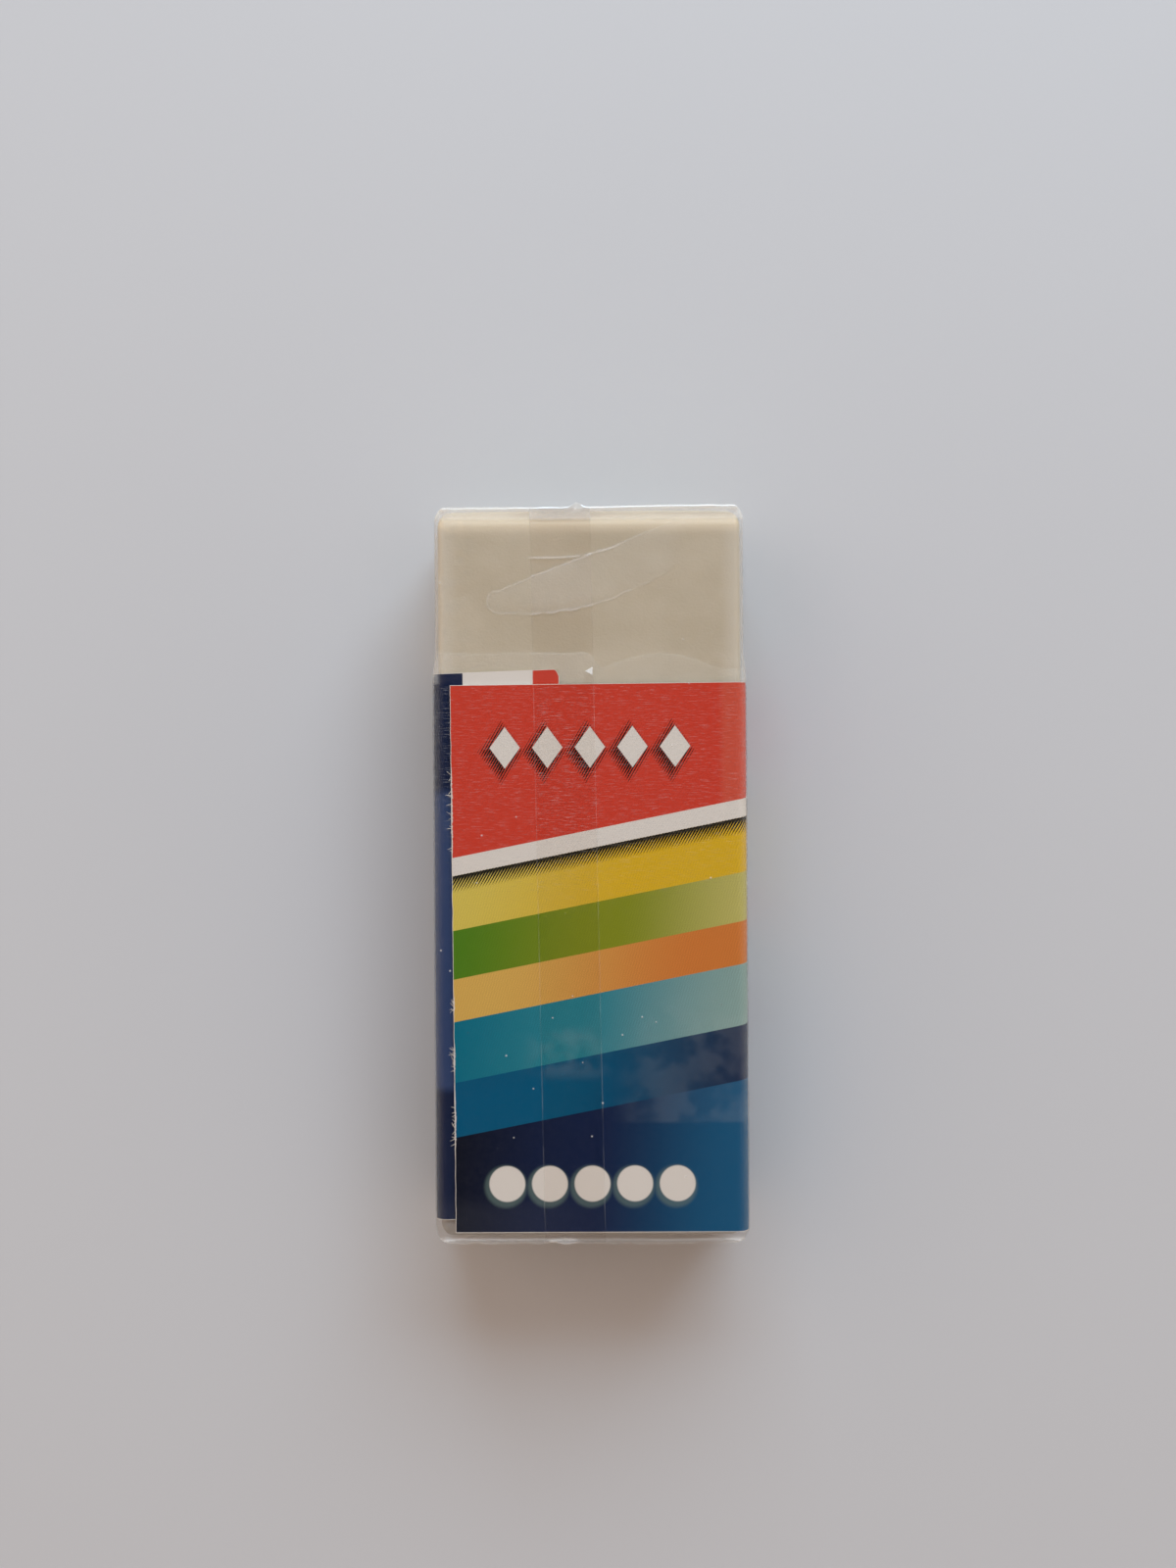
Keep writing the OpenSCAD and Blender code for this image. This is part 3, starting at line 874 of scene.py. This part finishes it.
def ring_numbers(flats, bend, upright):
    """A round-cornered ring as numbers that any size can use: the corner centre's two places from
    -1 to 1, and the cosine and sine of the direction from it. Goes round from the right side over
    the top. flats holds the points along the top and the bottom, bend those of a corner and upright
    those of a side."""
    across, up, direction = [], [], []
    sides = (
        (0, np.full(upright, 1.0), np.linspace(-1, 1, upright)),
        (90, np.linspace(1, -1, flats[0]), np.full(flats[0], 1.0)),
        (180, np.full(upright, -1.0), np.linspace(1, -1, upright)),
        (270, np.linspace(-1, 1, flats[1]), np.full(flats[1], -1.0)),
    )
    for degrees, a, b in sides:
        across += [a, np.full(bend - 1, a[-1])]
        up += [b, np.full(bend - 1, b[-1])]
        direction += [np.full(len(a), degrees), degrees + 90 * np.arange(1, bend) / bend]
    direction = np.radians(np.concatenate(direction))
    return np.concatenate(across), np.concatenate(up), np.cos(direction), np.sin(direction)


def crease_height(x, y):
    """Height of the film's wrinkles at places given in millimetres. Each wrinkle is a smooth curve
    through three points: a ridge that falls off as a bell across it and fades at its ends."""
    total = np.zeros(np.broadcast(x, y).shape)
    s = np.linspace(0, 1, 25)
    for start, middle, end, height, width in FRONT_CREASES:
        line = [(1 - s) ** 2 * a + 2 * s * (1 - s) * (2 * b - (a + c) / 2) + s ** 2 * c
                for a, b, c in zip(start, middle, end)]
        square = (x[..., None] - line[0]) ** 2 + (y[..., None] - line[1]) ** 2
        along = s[square.argmin(-1)]
        total += height * np.sin(np.pi * along) ** 0.5 * bell(np.sqrt(square.min(-1)), width)
    return total


def veil_depth(x, y):
    """How far a place lies inside the lifted fold over the bare vinyl, in millimetres. The fold
    lies between a parabola below and a slanted line above. Its left end is round, and its right end
    is cut off."""
    low = 21.5 + 0.026 * np.clip(x + 5, 0, None) ** 2 + 0.12 * ripple(x, 21)
    high = 23.15 + 0.385 * (x + 8.2) + 0.15 * ripple(x, 22)
    across = np.minimum((y - low) * 0.95, (high - y) * 0.93)
    round_x, round_y, radius = -7.45, 22.47, 0.95
    tongue = radius - np.hypot(np.minimum(x - round_x, 0), y - round_y)
    return np.where(x < round_x, tongue, np.minimum(across, 9.2 - x))


def bridge_depth(x, y):
    """How far a place lies inside the stretch of film that comes down from the sleeve's edge to the
    vinyl, in millimetres: up to one height on the left, and up to an arch on the right."""
    left = 18.2 + 0.10 * ripple(x, 23)
    right = 16.75 + 1.35 * np.clip(1 - ((x - 5.8) / 4.9) ** 2, 0, None)
    return left + (right - left) * smooth(np.clip((x + 0.2) / 1.4, 0, 1)) - y


def film_top(sizes, x, y):
    """Height of the film's upper side: level over the sleeve, then straight down to the vinyl
    across the bridge, with the lifted fold and the wrinkles on top of that. x and y are in
    millimetres."""
    share = np.clip((y - SLEEVE_EDGE / MM) / BRIDGE, 0, 1)
    lifted = smooth(np.clip(veil_depth(x, y) / 0.8, 0, 1))
    small = 0.010 * (1 + ripple(0.9 * x + 0.25 * y, 24) * ripple(0.35 * y + 0.2 * x, 25))
    rise = 0.10 * lifted + crease_height(x, y) + small
    return SLEEVE_HIGH.z + 0.03 * MM - sizes.dip * share + rise * MM


def film_rows(sizes):
    """Stations along the film, which are closest at the creases."""
    r = sizes.crease_r
    close = FILM_END - r
    middle = 15 * MM
    tight = np.linspace(0, 0.9 * MM, 22)[1:]
    body = np.concatenate([
        -close + tight, np.linspace(-close + 1.3 * MM, middle, 76),
        np.linspace(middle, close - 0.9 * MM, 84)[1:-1], close - tight[::-1],
    ])
    return stations(FILM_END, r, 8, body)


def lip(sizes, x, y):
    """The pinched lip along both end creases, from 0 to 1: a bell across the crease, uneven along
    it."""
    near = bell(abs(y) - (FILM_END - 0.4 * sizes.crease_r), 0.15 * MM)
    return near * np.clip(0.75 + 0.45 * ripple(x / MM * 0.8 + np.sign(y) * 3, 31), 0.25, 1.2)


def lip_shine(x, y):
    """How bright the lip shows along each end, from 0 to 1: straight runs between a few places. It
    sets the lip's haze, partly a painted highlight, and its glint.
    """
    far = np.interp(x / MM, (-12, -7, -3, 0.5, 4, 11.5, 12.5),
                    (0.25, 0.35, 0.95, 0.9, 0.65, 0.75, 0.4))
    foot = np.interp(x / MM, (-12, -4, -3.3, -1.6, -1, 10.5, 11.5, 12.4),
                     (0.35, 0.22, 0.5, 0.5, 0.16, 0.20, 0.5, 0.5))
    return np.where(y > 0, far, foot)


def tuck(x, y):
    """How far the film is pulled in along Y at each end, where it meets the block unevenly:
    straight runs between a few places across, which grow smoothly over the last 1.5 mm."""
    far = np.interp(x / MM, (-11.4, -0.2, 1.6, 6.0), (0.20, 0.20, 0.14, 0.06))
    foot = np.interp(x / MM, (-11.5, -2.6, 3.0, 6.2, 11.9), (0.34, 0.30, 0.26, 0.22, 0.30))
    return np.where(y > 0, far, -foot) * MM * smooth(np.clip((abs(y) / MM - 28.7) / 1.5, 0, 1))


def ears(x, y):
    """The film's four corners in its end creases, from 0 to 1: a bell across and a bell along."""
    return bell(abs(x) - EAR[0] * MM, 0.3 * MM) * bell(abs(y) - EAR[1] * MM, 0.22 * MM)


def film_body(sizes):
    """The film round the block as a closed skin, one ring for each station. Past the sleeve the
    section draws in by the neck on both sides, and its top follows the film's upper side. The lips
    and the corners stand up from it and out along Y, and the bare end's corners are pointed."""
    across, up, cos, sin = ring_numbers((96, 24), 6, 10)
    along, inward, scale = film_rows(sizes)
    r = sizes.film_r - inward
    past = smooth(np.clip((along - SLEEVE_EDGE - 0.2 * MM) / (2.4 * MM), 0, 1))
    over = np.clip((abs(along) - FILM_HIGH.y + 1.3 * MM) / (1.2 * MM), 0, 1)
    corner = 0.7 * MM * (1 - np.sqrt(1 - over * over))
    wide = FILM_HIGH.x - 0.02 * MM - sizes.neck * past - np.maximum(inward, corner)
    low = FILM_LOW.z + 0.02 * MM + inward
    drop = sizes.dip * np.clip((along - SLEEVE_EDGE) / (BRIDGE * MM), 0, 1)
    high = SLEEVE_HIGH.z + 0.04 * MM - drop - inward
    x = (across * (wide - r) + r * cos) * scale
    z = (up * ((high - low) / 2 - r) + r * sin) * scale + (low + high) / 2
    y = along + 0 * x

    # the upper side follows the film's height, and its edges ease into the round corners
    upper = (up > 0.999) * (scale > 0.999)
    flat = upper * (sin > 0.99) * np.clip(6 * (1 - abs(across)), 0, 1)
    z = z + flat * (film_top(sizes, x / MM, y / MM) - inward - z)
    pinch = lip(sizes, x, y) * upper * np.clip(sin, 0, 1)
    horn = ears(x, y) * upper * np.clip(sin, 0, 1)
    z = z + (0.14 * pinch + 0.10 * horn) * MM
    x = x + 0.25 * MM * horn * np.sign(x) * (y > 0)

    # haze is widest on the bare end's lip, and at the foot it lines the lip's root; there and at
    # the corners it is partly fold whitening and partly a painted highlight
    root = bell(pinch - 0.3, 0.12) * (y < 0)
    shine = lip_shine(x, y)
    soft = np.where(y > 0, 1.0, 0.35)
    haze = np.maximum(pinch * shine * soft, np.maximum(0.5 * horn * soft, root * shine))
    y = y + np.where(y > 0, *LIP_REACH) * MM * pinch * np.sign(y)
    middle = float((FILM_LOW.z + SLEEVE_HIGH.z) / 2)
    tips = [[0, y[0, 0], middle], [0, y[-1, 0], middle]]
    points, faces = closed_skin(np.stack([x, y, z], -1), tips)
    fields = film_fields(x, y, haze, 0.3 * pinch ** 2 * shine)
    return points, faces, {key: np.append(value, [0, 0]) for key, value in fields.items()}


def film_fields(x, y, haze, glint=None, lapped=False):
    """The numbers that the film's finish reads at each point: inside the lifted fold, inside the
    bridge, haze and glint of creases and edges, and 1 on the lap seam."""
    x, y = x / MM, y / MM
    return {
        "veil": np.clip(veil_depth(x, y), -2, 2).ravel(),
        "bridge": np.clip(bridge_depth(x, y), -2, 2).ravel(),
        "haze": haze.ravel(),
        "glint": np.zeros(x.size) if glint is None else glint.ravel(),
        "lapped": np.full(x.size, float(lapped)),
    }


def lap_seam(sizes):
    """The second layer along the front, as a grid: a strip over the film's upper side, run down
    both ends. It turns down each end as a quarter circle round the crease below it."""
    r = sizes.crease_r + SEAM_GAP
    turn = np.linspace(0, math.pi / 2, 7)
    middle = 15 * MM
    body = np.concatenate([np.linspace(-FILM_END + r, middle, 90),
                           np.linspace(middle, FILM_END - r, 80)[1:]])[1:-1]
    fall = (1 - np.linspace(0, 1, 7)[:-1]) * sizes.seam_hem
    flat = np.full(len(fall), FILM_END + SEAM_GAP)
    near = FILM_END - sizes.crease_r + r * np.sin(turn)
    y = np.concatenate([-flat, -near[::-1], body, near, flat])
    bend = r * (1 - np.cos(turn))
    down = np.concatenate([fall + r, bend[::-1], np.zeros(len(body)), bend, fall[::-1] + r])
    down = down[:, None]
    half = sizes.seam_w / 2
    edge = np.array([0.94, 0.965, 0.985, 1])
    s = np.concatenate([-edge[::-1], np.linspace(-0.8, 0.8, 13), edge]) * half
    ss, yy = np.meshgrid(s, y, indexing="xy")
    x = sizes.seam_x + ss - np.tan(sizes.seam_tilt) * yy + 0.02 * MM * ripple(yy / MM * 0.7, 41)
    z = film_top(sizes, x / MM, np.clip(yy, -FILM_END, FILM_END) / MM) + SEAM_GAP - down

    # the lip, with a peak in the bare end's, and a thin uneven bright line along both edges; the
    # haze of the lip and the peak is partly fold whitening and partly a painted highlight
    pinch = lip(sizes, x, yy) * (down < r * 0.9)
    peak = pinch * bell(x / MM + 0.95, 0.45) * (yy > 0)
    z = z + 0.14 * MM * pinch
    yy = yy + (np.where(yy > 0, *LIP_REACH) * pinch + 0.6 * peak) * MM * np.sign(yy)
    rim = bell(half - abs(ss), 0.05 * MM)
    rim = rim * np.clip(0.06 + 0.10 * ripple(yy / MM * 0.9, 42), 0.02, 1)
    bright = np.maximum(0.7 * pinch ** 2 * lip_shine(x, yy), 0.8 * peak)
    fields = film_fields(x, yy, np.maximum(rim, bright), 0.2 * pinch ** 2, lapped=True)
    return np.stack([x, yy, z], -1), fields


def end_flap(sizes, side, high):
    """One flap folded over an end, as a grid: a trapezium with 45-degree sides, hung from the top
    edge or raised from the bottom one, each on its own layer."""
    bare = side > 0
    top = FILM_HIGH.z - (sizes.dip if bare else 0) - 0.06 * MM
    rise = (top + sizes.end_lap) / 2
    half = FILM_HIGH.x - (sizes.neck if bare else 0) - sizes.film_r
    s, t = np.meshgrid(np.linspace(-1, 1, 42), np.linspace(0, 1, 15), indexing="xy")
    depth = 0.10 * MM + t * rise
    x = s * (half - depth)
    z = top - depth if high else FILM_LOW.z + depth
    layer = SEAM_GAP * (2 if high else 1) + 0.012 * MM * (1 + ripple(x / MM + t * 4, 51 + high))
    y = side * (FILM_END + layer)
    rim = bell((1 - t) * rise, 0.25 * MM) + bell((1 - abs(s)) * half, 0.25 * MM)
    return np.stack([x, y, z], -1), film_fields(x, y, 0.18 * np.clip(rim, 0, 1))


def film_mesh(sizes):
    """All of the film as one mesh: the wrap, its lap seam and the two flaps over each end."""
    points, faces, fields = film_body(sizes)
    points, gathered = [points], [fields]
    sheets = [(False, lap_seam(sizes))]
    for side in (1, -1):
        for high in (False, True):
            sheets.append(((side > 0) != high, end_flap(sizes, side, high)))
    for turned, (sheet, more) in sheets:
        quads = grid_quads(*sheet.shape[:2]) + sum(len(part) for part in points)
        faces.append(quads[:, ::-1] if turned else quads)
        points.append(sheet.reshape(-1, 3))
        gathered.append(more)
    points = np.concatenate(points)
    points[:, 1] -= tuck(points[:, 0], points[:, 1])
    fields = {key: np.concatenate([part[key] for part in gathered]) for key in fields}
    return points, faces, fields


def thicken(piece, thickness):
    """Gives a skin its thickness, half to each side."""
    wall = piece.modifiers.new("wall", "SOLIDIFY")
    wall.thickness = thickness
    wall.offset = 0


class ERASER_OT_block(bpy.types.Operator):
    """Make the vinyl block"""

    bl_idname = "eraser.block"
    bl_label = "Vinyl block"

    def execute(self, context):
        piece = make_piece("vinyl_block", *block_surface(context.scene.eraser_sizes))
        piece.data.materials.append(vinyl_material(context.scene.vinyl_colours))
        seat(piece, "ivory_vinyl", "eraser_block")
        return {"FINISHED"}


class ERASER_OT_sleeve(bpy.types.Operator):
    """Make the printed card sleeve"""

    bl_idname = "eraser.sleeve"
    bl_label = "Card sleeve"

    def execute(self, context):
        sizes = context.scene.eraser_sizes
        colours = context.scene.print_colours
        strip = {name: place / MM for name, place in strip_facts(sizes).items()}
        piece = make_piece("printed_sleeve", *sleeve_surface(sizes))
        piece.data.materials.append(print_material(colours, context.scene.print_sizes, strip))
        piece.data.materials.append(raw_card_material(colours))
        seat(piece, "printed_card", "card_sleeve")
        tufts = make_piece("card_fibres", *fibre_tufts(sizes))
        tufts.data.materials.append(fibre_material(colours))
        seat(tufts, "printed_card")
        return {"FINISHED"}


class ERASER_OT_film(bpy.types.Operator):
    """Make the clear film round the block and sleeve"""

    bl_idname = "eraser.film"
    bl_label = "Clear film"

    def execute(self, context):
        sizes = context.scene.film_sizes
        points, faces, fields = film_mesh(sizes)
        piece = make_piece("film_wrap", points, faces, None, fields, sharp=50)
        piece.data.materials.append(film_material())
        thicken(piece, sizes.film_t)
        seat(piece, "clear_film", "clear_film")
        return {"FINISHED"}


class ERASER_OT_stage(bpy.types.Operator):
    """Set the floor, the lights and the camera"""

    bl_idname = "eraser.stage"
    bl_label = "Stage"

    def execute(self, context):
        looks = context.scene.stage_looks
        reach, level = 2, -0.02 * MM
        corners = ((-reach, -reach), (reach, -reach), (reach, reach), (-reach, reach))
        points = np.array([(x, y, level) for x, y in corners])
        floor = make_piece("floor", points, [np.array([[0, 1, 2, 3]])])
        floor.data.materials.append(floor_material(looks))
        light_room(context.scene, looks)
        aim_camera(context.scene)
        return {"FINISHED"}


def light_room(scene, looks):
    """A warm room, bright low down, dim above that, paler high up and dark straight overhead, with
    a large cool window past the bare end and a weak lamp at the left."""
    room = Paint("room", bpy.data.worlds)
    way = room.wire(room.node("ShaderNodeTexCoord"), "Generated")
    parts = room.node("ShaderNodeSeparateXYZ", None, {0: way})
    ramp = room.node("ShaderNodeValToRGB", None, {0: room.wire(parts, "Z")})
    dark = (0.002, 0.002, 0.002)
    # colours by the height of the direction, from 0 at the horizon to 1 overhead
    stops = ((0.0, looks.room), (0.30, looks.room), (0.40, looks.between), (0.65, looks.between),
             (0.75, looks.ceiling), (0.90, looks.ceiling), (0.96, dark))
    for _ in stops[2:]:
        ramp.color_ramp.elements.new(0.5)
    for element, (place, tint) in zip(ramp.color_ramp.elements, stops):
        element.position = place
        element.color = (*tint, 1)
    glow = room.shader("Background", {"Color": room.wire(ramp), "Strength": 1.3})
    room.node("ShaderNodeOutputWorld", None, {"Surface": glow})
    scene.world = room.owner
    soft_light(scene, "window", looks.window, 6.55, (0.70, 0.45), (0.12, 0.60, 0.43))
    soft_light(scene, "lamp", looks.lamp, 0.74, (0.5, 0.5), (-0.55, 0.25, 0.50))


def soft_light(scene, name, tint, watts, size, place):
    """A rectangle of light that faces the object."""
    light = bpy.data.lights.new(name, "AREA")
    light.shape = "RECTANGLE"
    light.size, light.size_y = size
    light.energy = watts
    light.color = tint
    holder = bpy.data.objects.new(name, light)
    holder.location = place
    holder.rotation_euler = (-holder.location).to_track_quat("-Z", "Y").to_euler()
    scene.collection.objects.link(holder)


def aim_camera(scene):
    """A camera straight above, turned a little, that shows the block where the photograph does."""
    frame_w, frame_h = 1200, 1600
    pixels_per_mm = 12.37
    middle = (602.7, 891.8)
    roll = math.radians(0.35)
    focal_px = 1900
    sensor = 36.0
    lens = bpy.data.cameras.new("photo_camera")
    lens.sensor_fit = "VERTICAL"
    lens.sensor_height = sensor
    lens.lens = focal_px / frame_h * sensor
    right = (middle[0] - frame_w / 2) / pixels_per_mm * MM
    down = (middle[1] - frame_h / 2) / pixels_per_mm * MM
    holder = bpy.data.objects.new("photo_camera", lens)
    holder.location = (
        -right * math.cos(roll) + down * math.sin(roll),
        right * math.sin(roll) + down * math.cos(roll),
        BLOCK_HIGH.z + focal_px / pixels_per_mm * MM,
    )
    holder.rotation_euler = (0, 0, -roll)
    scene.collection.objects.link(holder)
    scene.camera = holder


class ERASER_PT_panel(bpy.types.Panel):
    """Lists the pieces and the stage, each with a button that makes it"""

    bl_idname = "ERASER_PT_panel"
    bl_label = "Wrapped eraser"
    bl_space_type = "VIEW_3D"
    bl_region_type = "UI"
    bl_category = "Eraser"

    def draw(self, context):
        for make in MAKERS:
            self.layout.operator(make.bl_idname)


GROUPS = {
    "eraser_sizes": EraserSizes,
    "film_sizes": FilmSizes,
    "print_colours": PrintColours,
    "print_sizes": PrintSizes,
    "vinyl_colours": VinylColours,
    "stage_looks": StageLooks,
}
MAKERS = (ERASER_OT_block, ERASER_OT_sleeve, ERASER_OT_film, ERASER_OT_stage)
CLASSES = (*GROUPS.values(), *MAKERS, ERASER_PT_panel)


def register():
    for kind in CLASSES:
        bpy.utils.register_class(kind)
    for name, kind in GROUPS.items():
        setattr(bpy.types.Scene, name, bpy.props.PointerProperty(type=kind))


def unregister():
    for name in GROUPS:
        delattr(bpy.types.Scene, name)
    for kind in reversed(CLASSES):
        bpy.utils.unregister_class(kind)


def main():
    """Makes every piece and the stage."""
    register()
    bpy.context.scene.view_settings.view_transform = "Standard"
    bpy.ops.eraser.block()
    bpy.ops.eraser.sleeve()
    bpy.ops.eraser.film()
    bpy.ops.eraser.stage()
    bpy.context.scene.cycles.transparent_max_bounces = 24  # for film seen edge on, layer on layer


if __name__ == "__main__":
    main()
